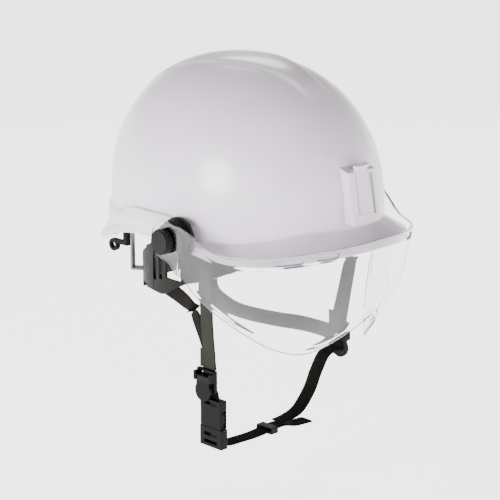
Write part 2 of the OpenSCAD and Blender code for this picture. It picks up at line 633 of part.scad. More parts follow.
// Chin strap from the tongue, through the keeper, up to the left adjuster
keeper_x = -14;
chin_y = -46;
module chin_strap_near() {
    z = buckle_top - socket_len - 12;
    color(WEB) {
        webbing([[buckle_x, buckle_y, z + 1], [buckle_x + 9, -46, z - 6], [-52, -47, -208], [-34, -47, -208.5],
            [keeper_x, chin_y, -208], [1, chin_y, -207.5], [16, -47, -211], [36, -48, -212]],
            [for (i = [0:7]) [0, 1, 0]]);
    }
}
module chin_strap_far() {
    color(WEB) webbing([[keeper_x + 13, chin_y, -204.5], [10, chin_y, -204], [27, -45, -200], [44, -43, -186],
        [55, -41, -171], [67, -40, -157], [adj_x - 1.4, adj_y, adj_z - 3], [adj_x - 0.7, adj_y, adj_z + 3]],
        [for (i = [0:7]) [0, 1, 0]]);
}
module strap_keeper() {
    color(BLACK) translate([keeper_x, chin_y, -208]) difference() {
        translate([-4.5, -webbing_w / 2 - 2.2, -3]) cube([9, webbing_w + 4.4, 6]);
        translate([-6, -webbing_w / 2 - 0.6, -1.6]) cube([12, webbing_w + 1.2, 3.2]);
    }
}

shell();
front_mount();
front_clip();
rear_clips();
lanyard_eye();
adapter(-1);  // adapter_right
adapter(1);  // adapter_left
visor_lens();
lens_ear(-1);  // lens_ear_right
lens_ear(1);  // lens_ear_left
lens_hub(-1);  // lens_hub_right
lens_hub(1);  // lens_hub_left
visor_knob(-1);  // visor_knob_right
visor_knob(1);  // visor_knob_left
headband();
sweatband();
side_arm(-1);  // side_arm_right
side_arm(1);  // side_arm_left
nape_guide(-1);  // nape_guide_right
nape_guide(1);  // nape_guide_left
ratchet_housing();
ratchet_cover();
rack(-1);  // rack_right
rack(1);  // rack_left
pinion();
ratchet_knob();
knob_screw();
nape_pad();
nape_hangers();
crown_strap(0, crown_z);  // crown_strap_long
crown_strap(55, crown_z + 1.5);  // crown_strap_right
crown_strap(125, crown_z + 3);  // crown_strap_left
crown_pad();
suspension_keys();
strap_anchors();
front_strap(-1);  // front_strap_right
front_strap(1);  // front_strap_left
rear_strap(-1);  // rear_strap_right
rear_strap(1);  // rear_strap_left
junction_patches();
adjuster(-1);  // adjuster_right
adjuster(1);  // adjuster_left
cam_lever(-1);  // cam_lever_right
cam_lever(1);  // cam_lever_left
lower_strap();
buckle_socket();
buckle_tongue();
chin_strap_near();
chin_strap_far();
strap_keeper();
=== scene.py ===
# %% [markdown]
# # A safety helmet with a clear visor
# This lesson dresses a helmet whose working parts are already modelled to size.
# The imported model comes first. It is the frame: every new piece is built in its
# coordinates, in metres, with +Z up, the wearer facing -Y and the wearer's left at +X.

# %% Load the frame
import json
import math

import bmesh
import bpy
from mathutils import Matrix, Vector

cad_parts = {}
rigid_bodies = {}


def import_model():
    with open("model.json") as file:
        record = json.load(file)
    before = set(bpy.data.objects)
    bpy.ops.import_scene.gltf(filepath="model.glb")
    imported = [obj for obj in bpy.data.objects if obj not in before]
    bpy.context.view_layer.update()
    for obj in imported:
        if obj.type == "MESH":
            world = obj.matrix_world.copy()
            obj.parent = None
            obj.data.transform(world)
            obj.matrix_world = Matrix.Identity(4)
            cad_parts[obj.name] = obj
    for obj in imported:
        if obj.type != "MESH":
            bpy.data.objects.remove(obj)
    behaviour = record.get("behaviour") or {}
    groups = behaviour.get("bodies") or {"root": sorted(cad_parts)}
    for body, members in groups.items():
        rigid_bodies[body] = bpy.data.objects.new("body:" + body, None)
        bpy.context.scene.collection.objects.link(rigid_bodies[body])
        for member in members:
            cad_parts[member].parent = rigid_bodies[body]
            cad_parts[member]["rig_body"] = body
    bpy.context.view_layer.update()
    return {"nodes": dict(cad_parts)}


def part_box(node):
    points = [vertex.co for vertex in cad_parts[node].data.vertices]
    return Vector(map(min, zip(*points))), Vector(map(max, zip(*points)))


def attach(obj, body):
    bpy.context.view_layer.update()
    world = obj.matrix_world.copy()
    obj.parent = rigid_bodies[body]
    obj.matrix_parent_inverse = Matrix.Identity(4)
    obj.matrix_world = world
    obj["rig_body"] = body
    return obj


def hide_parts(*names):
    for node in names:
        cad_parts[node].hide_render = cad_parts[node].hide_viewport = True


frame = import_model()
nodes = frame["nodes"]
MM = 0.001

# %% [markdown]
# ## Camera
# A long lens from a metre and a half away keeps the dome's proportions calm. The camera
# looks at a point a little below the brim, from the wearer's right and slightly above.

# %% Camera
DISTANCE, LENS, SENSOR = 1.59994, 126.3, 36


def add(name, data):
    """Puts a new object into the scene."""
    made = bpy.data.objects.new(name, data)
    bpy.context.scene.collection.objects.link(made)
    return made


azimuth, elevation = math.radians(-44.67), math.radians(14.93)
back = Vector((math.sin(azimuth) * math.cos(elevation),
               -math.cos(azimuth) * math.cos(elevation), math.sin(elevation)))
target = Vector((9.42, 0, -53.75)) * MM
camera = add("camera", bpy.data.cameras.new("camera"))
camera.data.sensor_width, camera.data.lens = SENSOR, LENS
camera.location = target + back * DISTANCE
camera.rotation_mode = "QUATERNION"
camera.rotation_quaternion = (-back).to_track_quat("-Z", "Y")
camera.data.clip_start, camera.data.clip_end = 0.01, 100
bpy.context.scene.camera = camera

# %% [markdown]
# ## Sums on shader sockets
# Blender's materials are graphs of nodes. A long graph is easier to read as a formula,
# so a small class wraps one output socket and turns +, - and * into Math nodes.

# %% Socket sums
class Signal:
    """One output socket of a material, with arithmetic."""

    def __init__(self, graph, socket):
        self.graph, self.socket = graph, socket

    def sum(self, operation, *values):
        return self.graph.node("ShaderNodeMath", {"operation": operation}, dict(enumerate(values)))

    def __add__(self, other):
        return self.sum("ADD", self, other)

    __radd__ = __add__

    def __sub__(self, other):
        return self.sum("SUBTRACT", self, other)

    def __rsub__(self, other):
        return self.sum("SUBTRACT", other, self)

    def __mul__(self, other):
        return self.sum("MULTIPLY", self, other)

    __rmul__ = __mul__

    def sin(self):
        return self.sum("SINE", self)

    def abs(self):
        return self.sum("ABSOLUTE", self)

    def step(self, low, high):
        """0 below low, 1 above high, smooth between."""
        return self.graph.node("ShaderNodeMapRange", {"interpolation_type": "SMOOTHSTEP"},
                               {0: self, 1: low, 2: high, 3: 0.0, 4: 1.0})


class Finish:
    """A material being written: node() adds a node, set() fills the shader's sockets."""

    def __init__(self, name):
        self.material = bpy.data.materials.new(name)
        self.material.use_nodes = True
        self.tree = self.material.node_tree
        self.shader = self.tree.nodes["Principled BSDF"]

    def join(self, value, socket):
        if isinstance(value, Signal):
            self.tree.links.new(value.socket, socket)
        elif isinstance(value, tuple):
            socket.default_value = (*value, 1)
        else:
            socket.default_value = value

    def node(self, kind, settings=None, inputs=None, output=0):
        made = self.tree.nodes.new(kind)
        for key, value in (settings or {}).items():
            setattr(made, key, value)
        for key, value in (inputs or {}).items():
            self.join(value, made.inputs[key])
        return Signal(self, made.outputs[output])

    def mix(self, factor, a, b):
        """Colour a where factor is 0 and b where it is 1."""
        return self.node("ShaderNodeMix", {"data_type": "RGBA"}, {0: factor, 6: a, 7: b}, 2)

    def place(self):
        return self.node("ShaderNodeTexCoord", output="Object")

    def strap_map(self):
        """The length along a strap in metres, and the place across it from 0 to 1."""
        parts = self.node("ShaderNodeSeparateXYZ", None,
                          {0: self.node("ShaderNodeUVMap", {"uv_map": "strap"})})
        return parts, Signal(self, parts.socket.node.outputs[1])

    def noise(self, scale, detail, rough=0.5):
        return self.node("ShaderNodeTexNoise", None,
                         {"Vector": self.place(), "Scale": scale, "Detail": detail, "Roughness": rough})

    def bump(self, height, strength, distance):
        return self.node("ShaderNodeBump", None,
                         {"Height": height, "Strength": strength, "Distance": distance})

    def set(self, **values):
        names = {"colour": "Base Color", "roughness": "Roughness", "metal": "Metallic", "normal": "Normal",
                 "coat": "Coat Weight", "coat_roughness": "Coat Roughness", "sheen": "Sheen Weight",
                 "sheen_roughness": "Sheen Roughness", "ior": "IOR", "clear": "Transmission Weight",
                 "specular": "Specular IOR Level"}
        for key, value in values.items():
            self.join(value, self.shader.inputs[names[key]])
        return self.material

# %% [markdown]
# ## Finishes
# The shell is injection-moulded plastic with a soft gloss: nearly white, with a faint
# violet tint, and a very fine waviness that breaks up the highlights.

# %% Shell plastic
def shell_plastic():
    f = Finish("shell plastic")
    broad = f.noise(18, 3).step(0.3, 0.7)
    wave = f.noise(90, 2)
    grain = f.noise(2200, 1)
    return f.set(colour=f.mix(broad, (0.645, 0.585, 0.645), (0.685, 0.625, 0.685)),
                 roughness=0.30 + 0.06 * f.noise(60, 4), coat=0.2 + 0.1 * broad, coat_roughness=0.1,
                 specular=0.5, normal=f.bump(wave * 0.7 + grain * 0.05, 0.12, 0.0006))


# %% [markdown]
# Harness and headband fittings are glass-filled nylon: dark grey, with a fine spark-eroded
# texture and paler, smoother patches where it has rubbed. The pivot hubs are polished.

# %% Moulded plastics
def moulded(name, low, high, rough, grain_size, grain_depth, coat, shine):
    f = Finish(name)
    grain = f.noise(grain_size, 3, rough=0.65)
    patch = f.noise(45, 4).step(0.35, 0.7)
    scuff = f.noise(240, 5, rough=0.7).step(0.58, 0.72)
    return f.set(colour=f.mix(patch * 0.7 + scuff * 0.3, low, high),
                 roughness=rough + 0.12 * patch - 0.06 * scuff, coat=coat * (1 - 0.4 * scuff),
                 coat_roughness=0.1, specular=shine, normal=f.bump(grain, grain_depth, 0.00012))


grey_nylon = moulded("grey nylon", (0.0065, 0.0067, 0.0058), (0.014, 0.0144, 0.0125), 0.42,
                     grain_size=1500, grain_depth=0.6, coat=0, shine=0.09)
band_nylon = moulded("band nylon", (0.0055, 0.0063, 0.005), (0.0125, 0.014, 0.0112), 0.46,
                     grain_size=1200, grain_depth=0.5, coat=0, shine=0.06)
black_nylon = moulded("black nylon", (0.0012, 0.0011, 0.0009), (0.0038, 0.0034, 0.0027), 0.3,
                      grain_size=1700, grain_depth=0.35, coat=0.02, shine=0.06)
black_gloss = moulded("polished black", (0.003, 0.003, 0.003), (0.006, 0.006, 0.006), 0.12,
                      grain_size=900, grain_depth=0.05, coat=0.3, shine=0.3)
pale_nylon = moulded("pale nylon", (0.15, 0.145, 0.135), (0.22, 0.212, 0.20), 0.42,
                     grain_size=1300, grain_depth=0.4, coat=0, shine=0.4)
white_plastic = shell_plastic()


# %% [markdown]
# Webbing is woven polyester. Its pattern runs along the strap, so it reads the strap's own
# map, whose first number is the length in metres and whose second crosses the width.
# Ribs along and across, a slanting twill, darker edges and a little fuzz make it cloth.

# %% Webbing
RIB, WARPS, KNIT, WALES = 0.0011, 15, 0.0016, 22


def woven(name, dark, light):
    """Ribs repeat every RIB metres, with WARPS of them side by side."""
    f = Finish(name)
    along, side = f.strap_map()
    pick = (along * (2 * math.pi / RIB)).sin()
    warp = (side * (WARPS * math.pi)).sin().abs()
    twill = (along * (math.pi / RIB) + side * (WARPS * math.pi)).sin()
    height = 0.45 * warp + 0.3 * pick * warp + 0.25 * twill
    edge = (side - 0.5).abs().step(0.40, 0.47)
    fuzz = f.noise(900, 5, rough=0.75)
    slub = f.noise(70, 3)
    tone = (0.5 + 0.35 * height) * 0.6 + fuzz * 0.3 + slub * 0.25 - edge * 0.18
    return f.set(colour=f.mix(tone.step(0.1, 0.95), dark, light), roughness=0.82 + 0.1 * fuzz,
                 sheen=0.01, sheen_roughness=0.5, specular=0.03,
                 normal=f.bump(height + 0.5 * fuzz, 0.75, 0.00022))


web = woven("strap webbing", (0.0085, 0.0085, 0.007), (0.030, 0.030, 0.025))
# The dark webbing is the chin and lower straps' own colour. On the rear straps it stands in as painted shade
# on the grey webbing.
web_dark_and_shaded = woven("dark webbing and painted shade", (0.0022, 0.002, 0.0015), (0.0115, 0.0103, 0.008))


# %% [markdown]
# The brow band is a soft knitted laminate over foam. A knit is two sets of loops, so two
# sine waves at right angles give its dimples. The rear pad is plain closed-cell foam.

# %% Pads
def knitted(name, dark, light):
    """Loops repeat every KNIT metres, with WALES of them side by side."""
    f = Finish(name)
    along, side = f.strap_map()
    loops = (along * (2 * math.pi / KNIT)).sin() * (side * (2 * math.pi * WALES)).sin()
    fuzz = f.noise(1100, 5, rough=0.8)
    patch = f.noise(50, 3)
    return f.set(colour=f.mix((loops * 0.2 + fuzz * 0.5 + patch * 0.4).step(0.05, 0.9), dark, light),
                 roughness=0.9 + 0.06 * fuzz, sheen=0.12, sheen_roughness=0.6, specular=0.1,
                 normal=f.bump(loops * 0.5 + fuzz, 0.6, 0.0003))


def foam(name, dark, light):
    f = Finish(name)
    cells = f.node("ShaderNodeTexVoronoi", None, {"Vector": f.place(), "Scale": 900.0})
    patch = f.noise(60, 4)
    return f.set(colour=f.mix(cells * 0.4 + patch * 0.6, dark, light), roughness=0.86 + 0.08 * cells,
                 specular=0.1, normal=f.bump(cells + 0.4 * patch, 0.5, 0.0003))


brow_knit = knitted("brow knit", (0.30, 0.285, 0.26), (0.50, 0.48, 0.44))
black_foam = foam("black foam", (0.014, 0.014, 0.014), (0.03, 0.03, 0.03))

# %% [markdown]
# The visor is clear polycarbonate. Most of what the eye sees of it is its edge, which
# gathers light with a faint violet tint, and thin reflections on its faces.

# %% Clear and metal finishes
def polycarbonate():
    f = Finish("clear polycarbonate")
    haze = f.noise(9, 3)
    return f.set(colour=f.mix(haze, (0.985, 0.98, 0.995), (0.995, 0.992, 1.0)),
                 roughness=0.012 + 0.012 * haze, clear=1.0, ior=1.45, specular=0.5,
                 normal=f.bump(f.noise(26, 2), 0.04, 0.0008))


def cut_edge():
    """The sheet's own edge gathers light and shows the plastic's violet tint."""
    f = Finish("clear cut edge")
    streak = f.noise(160, 3)
    return f.set(colour=f.mix(streak.step(0.35, 0.65), (0.34, 0.30, 0.46), (0.72, 0.68, 0.86)),
                 roughness=0.12 + 0.1 * streak, clear=0.55, ior=1.45, specular=0.5,
                 normal=f.bump(streak, 0.1, 0.0003))


def brushed_steel():
    f = Finish("brushed steel")
    lines = f.noise(700, 6, rough=0.8)
    return f.set(colour=f.mix(lines, (0.42, 0.42, 0.43), (0.62, 0.62, 0.63)), metal=1.0,
                 roughness=0.25 + 0.2 * lines, normal=f.bump(lines, 0.2, 0.0001))


clear = polycarbonate()
clear_edge = cut_edge()
steel = brushed_steel()
print("finishes:", len(bpy.data.materials))

# %% [markdown]
# ## From a bmesh to a finished piece
# Every new piece ends the same way: its normals point outwards, edges sharper than a
# limit (in radians) are marked, it gets its material, and it rides on its own body.

# %% Finishing a piece
def sharpen(bm, limit):
    for face in bm.faces:
        face.smooth = True
    for edge in bm.edges:
        if len(edge.link_faces) == 2:
            edge.smooth = edge.calc_face_angle(0) < limit


def piece(bm, name, body, material, stands_for=(), limit=0.6, recalc=True):
    if recalc:
        bmesh.ops.recalc_face_normals(bm, faces=bm.faces)
    sharpen(bm, limit)
    mesh = bpy.data.meshes.new(name)
    bm.to_mesh(mesh)
    bm.free()
    mesh.materials.append(material)
    made = add(name, mesh)
    if stands_for:
        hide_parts(*([stands_for] if isinstance(stands_for, str) else stands_for))
    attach(made, body)
    return made


def round_over(made, width, segments, angle):
    """Rounds a finished piece's sharp edges."""
    bevel = made.modifiers.new("rounding", "BEVEL")
    bevel.width, bevel.segments, bevel.limit_method, bevel.angle_limit = width, segments, "ANGLE", angle
    bevel.harden_normals = True
    return made


def subdivide(made):
    smooth = made.modifiers.new("smooth", "SUBSURF")
    smooth.levels = smooth.render_levels = 1

# %% [markdown]
# ## The shell
# The dome is a squarish ellipsoid on an oval plan. A circle of vertices is extruded ring
# by ring, from the crown down over the rim and back up inside, and each new ring is
# moved onto the shape. The rim's height, reach and fillet change round the plan, so small
# functions give them at any angle: 0 is the front, 90 the side and 180 the rear.

# %% Shell sizes and curves
HALF_W, HALF_L, MID_Y = 104.5, 138.0, -3.5
DOME_H, WALL, POWER = 127.0, 3.0, 2.2
LIP_H, LIP_SLOPE, BRIM, FLARE, SIDE_OUT, POCKET, CREST = 7.5, 0.8, 20.0, 11.0, 3.0, 3.0, 2.2
COLUMNS = 216


def ease(t):
    t = min(max(t, 0.0), 1.0)
    return t * t * (3 - 2 * t)


def catmull(points, i, u):
    a, b = points[max(i - 1, 0)], points[i]
    c, d = points[min(i + 1, len(points) - 1)], points[min(i + 2, len(points) - 1)]
    return [0.5 * (2 * q + (r - p) * u + (2 * p - 5 * q + 4 * r - s) * u * u
                   + (3 * q - p - 3 * r + s) * u ** 3) for p, q, r, s in zip(a, b, c, d)]


def table(rows, x):
    """The smoothed row at key x, the first column."""
    for i in range(len(rows) - 1):
        if x <= rows[i + 1][0]:
            return catmull(rows, i, max(0.0, (x - rows[i][0]) / (rows[i + 1][0] - rows[i][0])))
    return list(rows[-1])


def oval(angle, w, l, out=0.0, y0=MID_Y):
    """A place on an oval of half width w and half length l, moved outwards by out."""
    s, c = math.sin(math.radians(angle)), math.cos(math.radians(angle))
    n = Vector((-s / w, -c / l)).normalized() * out
    return -w * s + n.x, y0 - l * c + n.y


def fold(angle):
    """The same angle from the front on either side, 0 to 180."""
    angle %= 360
    return 360 - angle if angle > 180 else angle


RIM = [(0, -20), (25, -24), (48, -30), (66, -29), (88, -21), (106, -23.5), (122, -33), (137, -46),
       (155, -51), (180, -52)]


def lip_low(f):
    return table(RIM, f)[1]


def lip_top(f):
    return lip_low(f) + LIP_H


def brim_out(f):
    return SIDE_OUT + (BRIM - SIDE_OUT) * ease((86 - f) / 52) + (FLARE - SIDE_OUT) * ease((f - 104) / 48)


def foot_z(f):
    return lip_top(f) + 4 + 8 * ease((85 - f) / 60) + 9 * ease((f - 110) / 40)


def pocket(f):
    return POCKET * ease((f - 70) / 9)


def ledge_z(f):
    return 1.5 - 5 * ease((86 - f) / 12) - 13 * ease((f - 100) / 22)


def crest(x, y):
    half = 34 - 20 * ease((20 - y) / 110)
    return CREST * ease((half - abs(x)) / 4.5 + 0.3) * ease((y + 100) / 20) * ease((110 - y) / 12)


def dome_ring(q, w, l, h, raised):
    q = math.radians(q)
    k = (math.cos(q) ** POWER + math.sin(q) ** POWER) ** (-1 / POWER)

    def at(angle):
        x, y = oval(angle, w * math.cos(q) * k, l * math.cos(q) * k)
        return x, y, h * math.sin(q) * k + (crest(x, y) if raised else 0)
    return at

# %% Shell rings
def ledge_h(f):
    return 0.5 + 9 * ease((f - 112) / 12) + 3 * ease((76 - f) / 8)


def rim_at(out, z):
    return lambda angle: (*oval(angle, HALF_W, HALF_L, out(fold(angle))), z(fold(angle)))


def foot(f):
    return min(foot_z(f), ledge_z(f) - 1.5)


rim_rings = [
    rim_at(lambda f: 0, lambda f: ledge_z(f) + ledge_h(f)),
    rim_at(lambda f: pocket(f) * 0.12, lambda f: ledge_z(f) + ledge_h(f) * 0.5),
    rim_at(lambda f: pocket(f) * 0.88, ledge_z),
    rim_at(pocket, lambda f: ledge_z(f) - 0.6),
    rim_at(pocket, lambda f: foot(f) + 1.2),
    rim_at(lambda f: pocket(f) + 0.25, lambda f: foot(f) + 0.2),
    rim_at(lambda f: pocket(f) + 0.07 * max(brim_out(f) - 1 - pocket(f), 0) + 0.3,
           lambda f: foot(f) - 0.05 * (foot(f) - lip_top(f)) - 0.4),
    rim_at(lambda f: pocket(f) + 0.5 * max(brim_out(f) - 1 - pocket(f), 0),
           lambda f: foot(f) - 0.46 * (foot(f) - lip_top(f))),
    rim_at(lambda f: max(brim_out(f) - 2, pocket(f)), lambda f: lip_top(f) + 0.7),
    rim_at(lambda f: max(brim_out(f) - 0.7, pocket(f)), lambda f: lip_top(f) + 0.2),
    rim_at(lambda f: brim_out(f) - 0.1, lambda f: lip_top(f) - 0.9),
    rim_at(lambda f: brim_out(f) + 0.6, lambda f: lip_low(f) + 1.5),
    rim_at(lambda f: brim_out(f) + LIP_SLOPE, lambda f: lip_low(f) + 0.5),
    rim_at(lambda f: brim_out(f) + 0.3, lip_low),
    rim_at(lambda f: brim_out(f) - 1.7, lip_low),
    rim_at(lambda f: brim_out(f) - 2.2, lambda f: lip_low(f) + 0.5),
    rim_at(lambda f: brim_out(f) - WALL, lambda f: lip_top(f) - WALL),
    rim_at(lambda f: pocket(f) - WALL, lambda f: foot(f) - WALL / 2),
    rim_at(lambda f: pocket(f) - WALL, lambda f: ledge_z(f) - 0.6),
    rim_at(lambda f: -WALL, lambda f: ledge_z(f) + ledge_h(f)),
]
outer = [dome_ring(q, HALF_W, HALF_L, DOME_H, True)
         for q in [89.7, 89, 88, 86.5] + [85 - 1.5 * k for k in range(55)]]
inner = [dome_ring(q, HALF_W - WALL, HALF_L - WALL, DOME_H - WALL, False)
         for q in [3.2] + [10 + 5 * k for k in range(16)] + [88, 89.7]]


def ring_solid(rings, columns):
    """Extrudes a circle through every ring; both ends close with a fan."""
    bm = bmesh.new()
    row = bm.verts.layers.int.new("row")
    circle = bmesh.ops.create_circle(bm, segments=columns, radius=1, cap_ends=True, cap_tris=True)["verts"]
    rim = [v for v in circle if v.is_valid and len(v.link_edges) == 3]
    hub = next(v for v in circle if len(v.link_edges) > 3)
    rim.sort(key=lambda v: math.atan2(v.co.x, v.co.y))
    angles = [360 * k / columns for k in range(columns)]

    def place(verts, k):
        for v, a in zip(verts, angles):
            v.co, v[row] = Vector(rings[k](a)) * MM, k
    place(rim, 0)
    hub.co = sum((v.co for v in rim), Vector()) / len(rim)
    loop = rim
    for k in range(1, len(rings)):
        edges = [bm.edges.get((a, b)) for a, b in zip(loop, loop[1:] + loop[:1])]
        grown = bmesh.ops.extrude_edge_only(bm, edges=edges)["geom"]
        new = {v for v in grown if isinstance(v, bmesh.types.BMVert)}
        loop = [next(e.other_vert(v) for e in v.link_edges if e.other_vert(v) in new) for v in loop]
        place(loop, k)
    closing = [bm.edges.get((a, b)) for a, b in zip(loop, loop[1:] + loop[:1])]
    cap = bmesh.ops.edgeloop_fill(bm, edges=closing)["faces"]
    for v in bmesh.ops.poke(bm, faces=cap)["verts"]:
        v[row] = len(rings) - 1
    return bm


shell = piece(ring_solid(outer + rim_rings + inner, COLUMNS), "shell_moulding", "helmet", white_plastic,
              "shell", limit=0.9)
print("shell:", len(shell.data.vertices), "vertices")

# %% [markdown]
# ## Carried-over fittings
# Many fittings have the right shape already, but their edges are razor sharp, and no
# moulded part's are. A copy of each is merged, its flat faces are joined, and a small
# bevel rounds it, so that its edges catch the light. A name without its own node stands
# for the pair of nodes that end in _right and _left.

# %% Soften a fitting
MERGE, FLAT, SHARP = 2e-6, math.radians(2), 0.55


def softened(node, material, width, segments):
    bm = bmesh.new()
    bm.from_mesh(nodes[node].data)
    bmesh.ops.remove_doubles(bm, verts=bm.verts, dist=MERGE)
    bmesh.ops.dissolve_limit(bm, angle_limit=FLAT, verts=bm.verts, edges=bm.edges)
    made = piece(bm, node + "_moulding", nodes[node]["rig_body"], material, node,
                 limit=SHARP, recalc=False)
    return round_over(made, width * MM, segments, SHARP)


fittings = {
    "front_mount": (white_plastic, 0.9, 3), "front_clip": (white_plastic, 0.6, 2),
    "rear_clips": (black_nylon, 0.4, 2), "lanyard_eye": (black_nylon, 0.6, 2),
    "adapter": (grey_nylon, 0.45, 2), "lens_hub": (black_gloss, 0.35, 2),
    "visor_knob": (grey_nylon, 0.5, 3), "headband": (band_nylon, 0.6, 3),
    "side_arm": (band_nylon, 0.5, 3), "nape_guide": (band_nylon, 0.5, 2),
    "nape_hangers": (pale_nylon, 0.5, 2), "ratchet_housing": (grey_nylon, 0.5, 2),
    "ratchet_cover": (grey_nylon, 0.6, 2), "rack": (grey_nylon, 0.2, 1),
    "pinion": (black_nylon, 0.15, 1), "ratchet_knob": (grey_nylon, 0.6, 3), "knob_screw": (steel, 0.3, 2),
    "suspension_keys": (grey_nylon, 0.5, 2), "strap_anchors": (grey_nylon, 0.6, 2),
    "adjuster": (black_nylon, 0.6, 3), "cam_lever": (black_nylon, 0.7, 3),
    "buckle_socket": (black_nylon, 0.9, 3), "buckle_tongue": (black_nylon, 0.8, 3),
    "strap_keeper": (black_nylon, 0.6, 2),
}
fitted = [softened(node, *look) for name, look in fittings.items()
          for node in ([name] if name in nodes else [name + "_right", name + "_left"])]
print("fittings:", len(fitted))

# %% [markdown]
# ## The visor
# The visor is one sheet of clear plastic. It is deep beside the nose, has a notch over it,
# and ends in a round ear at each pivot. A flat grid of vertices is laid onto that shape:
# its columns run round the face and its rows run down the sheet. The first rows carry the
# stiff flange under the brim, and the last ones the moulded lip along the lower edge.

# %% Visor sizes
PIVOT_Y, PIVOT_Z, EAR_R, LENS_T, LENS_END = -35.0, -14.0, 17.0, 2.4, 73
FLANGE, LIP, GAP = 1.1, 1.0, 0.3
HOLE_R, CUT_R, NEAR_R = 4.3, 4.2, 8.0
EAR_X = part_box("lens_ear_left")[1][0] / MM - LENS_T
VISOR_L = HALF_L + BRIM + LIP_SLOPE + LENS_T + 2 * GAP
VISOR_W = (EAR_X + LENS_T) / math.sqrt(1 - ((PIVOT_Y - 15 - MID_Y) / VISOR_L) ** 2)
LOWER_EDGE = [(0, 8, -77), (5, 13, -87), (11, 27, -101), (20, 37, -112), (31, 40, -115.5),
              (45, 38, -108), (57, 31, -92), (65, 19, -74), (70, 8, -58), (73, 2, -41)]


def visor_top(f):
    return lip_top(f) + 1.5 + 18 * ease((f - 56) / 18)


def lens_point(angle, row):
    """A place on the middle of the sheet; row is 0 at the top edge and 1 at the lower one."""
    f = abs(angle)
    _, inset, low = table(LOWER_EDGE, f)
    height = visor_top(f) - low
    down = row * height
    fade = ease((70 - f) / 8)
    flange = FLANGE * ease((9.5 - down) / 1.4) * fade
    lip = LIP * ease((down - height + 7) / 1.2) * fade
    x, y = oval(angle, VISOR_W, VISOR_L, -inset * row * row - LENS_T / 2 + flange + lip)
    return x, y, visor_top(f) - down


def ear_point(side, turn, row):
    """The ear beyond the lens, flat beside the pivot; turn goes from the lens end to the tip."""
    y = PIVOT_Y + EAR_R * math.sin(math.radians(turn))
    reach = EAR_R * math.cos(math.radians(turn))
    join = ease((PIVOT_Y - y) / 14)
    top = PIVOT_Z + reach + join * (visor_top(LENS_END) - PIVOT_Z - reach)
    low = PIVOT_Z - reach + join * (LOWER_EDGE[-1][2] - PIVOT_Z + reach)
    return side * (EAR_X + LENS_T / 2), y, top + (low - top) * row

# %% Visor sheet
VENTS = [(18.6, 27.1), (31.2, 41.8)]
edges = sorted({s * e for vent in VENTS for e in vent for s in (-1, 1)})
angles = sorted(edges + [a for a in range(-72, 73, 3) if min(abs(a - e) for e in edges) > 1.2])
turns = [-64, -54, -44, -34, -24, -14, -5, 5, 14, 24, 34, 45, 56, 68, 80]
columns = [(1, t) for t in reversed(turns)] + [(0, a) for a in angles] + [(-1, t) for t in turns]
rows = [0, 0.02, 0.075, 0.095, 0.115, 0.16, 0.22, 0.29, 0.36, 0.43, 0.50, 0.57, 0.64, 0.71, 0.78,
        0.84, 0.89, 0.925, 0.945, 0.965, 0.985, 1]
bm = bmesh.new()
bmesh.ops.create_grid(bm, x_segments=len(columns) - 1, y_segments=len(rows) - 1, size=1)
place_of = {}
for v in bm.verts:
    i = round((v.co.x + 1) / 2 * (len(columns) - 1))
    j = round((1 - v.co.y) / 2 * (len(rows) - 1))
    place_of[v] = (i, j)
    side, value = columns[i]
    v.co = Vector(ear_point(side, value, rows[j]) if side else lens_point(value, rows[j])) * MM


def in_vent(face):
    """True between the second and third rows, at the angles of a vent."""
    i = [place_of[v][0] for v in face.verts]
    j = [place_of[v][1] for v in face.verts]
    if min(j) != 1 or max(j) != 2 or columns[min(i)][0] or columns[max(i)][0]:
        return False
    middle = abs(columns[min(i)][1] + columns[max(i)][1]) / 2
    return any(a < middle < b for a, b in VENTS)


pivot = Vector((0, PIVOT_Y, PIVOT_Z)) * MM


def from_pivot(co):
    """The way from the pivots' axis to a place, seen from the side."""
    return Vector((0, co.y - pivot.y, co.z - pivot.z))


cuts = [f for f in bm.faces if in_vent(f)]
holes = [f for f in bm.faces if abs(f.calc_center_median().x) > (EAR_X - 1) * MM
         and from_pivot(f.calc_center_median()).length < CUT_R * MM]
bmesh.ops.delete(bm, geom=cuts + holes, context="FACES")
for v in bm.verts:
    if v.is_boundary and from_pivot(v.co).length < NEAR_R * MM and abs(v.co.x) > (EAR_X - 1) * MM:
        ray = from_pivot(v.co).normalized() * HOLE_R * MM
        v.co = Vector((v.co.x, pivot.y + ray.y, pivot.z + ray.z))
visor = piece(bm, "visor_sheet", "visor", clear, ("visor_lens", "lens_ear_right", "lens_ear_left"),
              limit=3, recalc=False)
subdivide(visor)
wall = visor.modifiers.new("wall", "SOLIDIFY")
wall.thickness, wall.offset = LENS_T * MM, 0
visor.data.materials.append(clear_edge)
wall.material_offset_rim = 1
round_over(visor, 0.5 * MM, 2, 0.9)
print("visor:", len(columns), "columns,", len(cuts), "faces cut for vents")

# %% [markdown]
# ## Sweeping a section along a path
# Webbing, the brow pad and the nape pad are each one section carried along a path. Each
# place on the path gives a centre and two directions, across and through; the section is
# a rounded rectangle. The length along and the place across go into the piece's own map.

# %% Sweep
STEPS, HALF_COLUMN, STRAP_W, STRAP_T = 8, 11.25, 15.0, 1.6


def rounded(angle, power):
    """A place on a rounded square; a higher power gives sharper corners."""
    s, c = math.sin(math.radians(angle)), math.cos(math.radians(angle))
    k = (abs(s) ** power + abs(c) ** power) ** (-1 / power)
    return c * k, s * k


